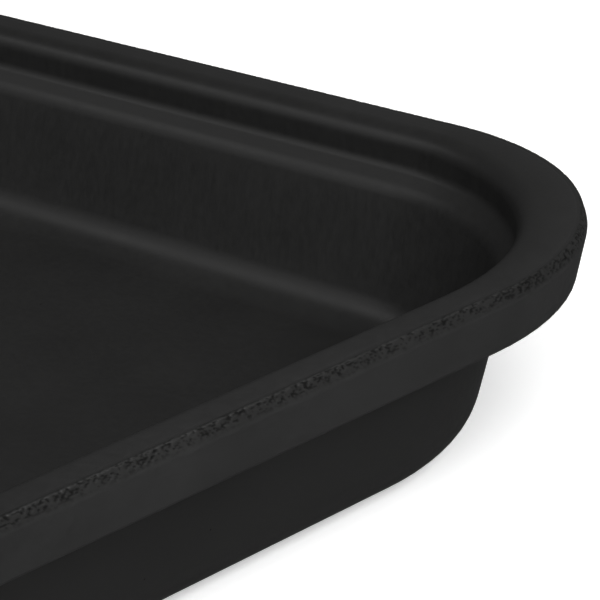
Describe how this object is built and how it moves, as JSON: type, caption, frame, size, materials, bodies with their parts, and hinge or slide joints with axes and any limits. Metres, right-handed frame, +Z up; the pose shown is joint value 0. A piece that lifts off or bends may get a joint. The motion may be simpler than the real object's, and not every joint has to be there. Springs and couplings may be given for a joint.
{
  "type": "food pan",
  "caption": "Shallow rectangular food pan for a deli counter, with sloping walls, round corners, a sloping inner shoulder and a flat rim turned down into a short skirt.",
  "frame": {"origin": "middle of the flat underside that the pan stands on", "axes": "+X along the pan's length, +Y along its width, +Z up out of the basin"},
  "size_m": [0.53, 0.325, 0.051],
  "materials": {
    "moulded_plastic": "semi-gloss black, slightly mottled, with a rougher dressed line round the rim's outer edge"
  },
  "bodies": {
    "root": {"pan_rim": "moulded_plastic", "pan_wall": "moulded_plastic", "pan_floor": "moulded_plastic"}
  },
  "joints": []
}
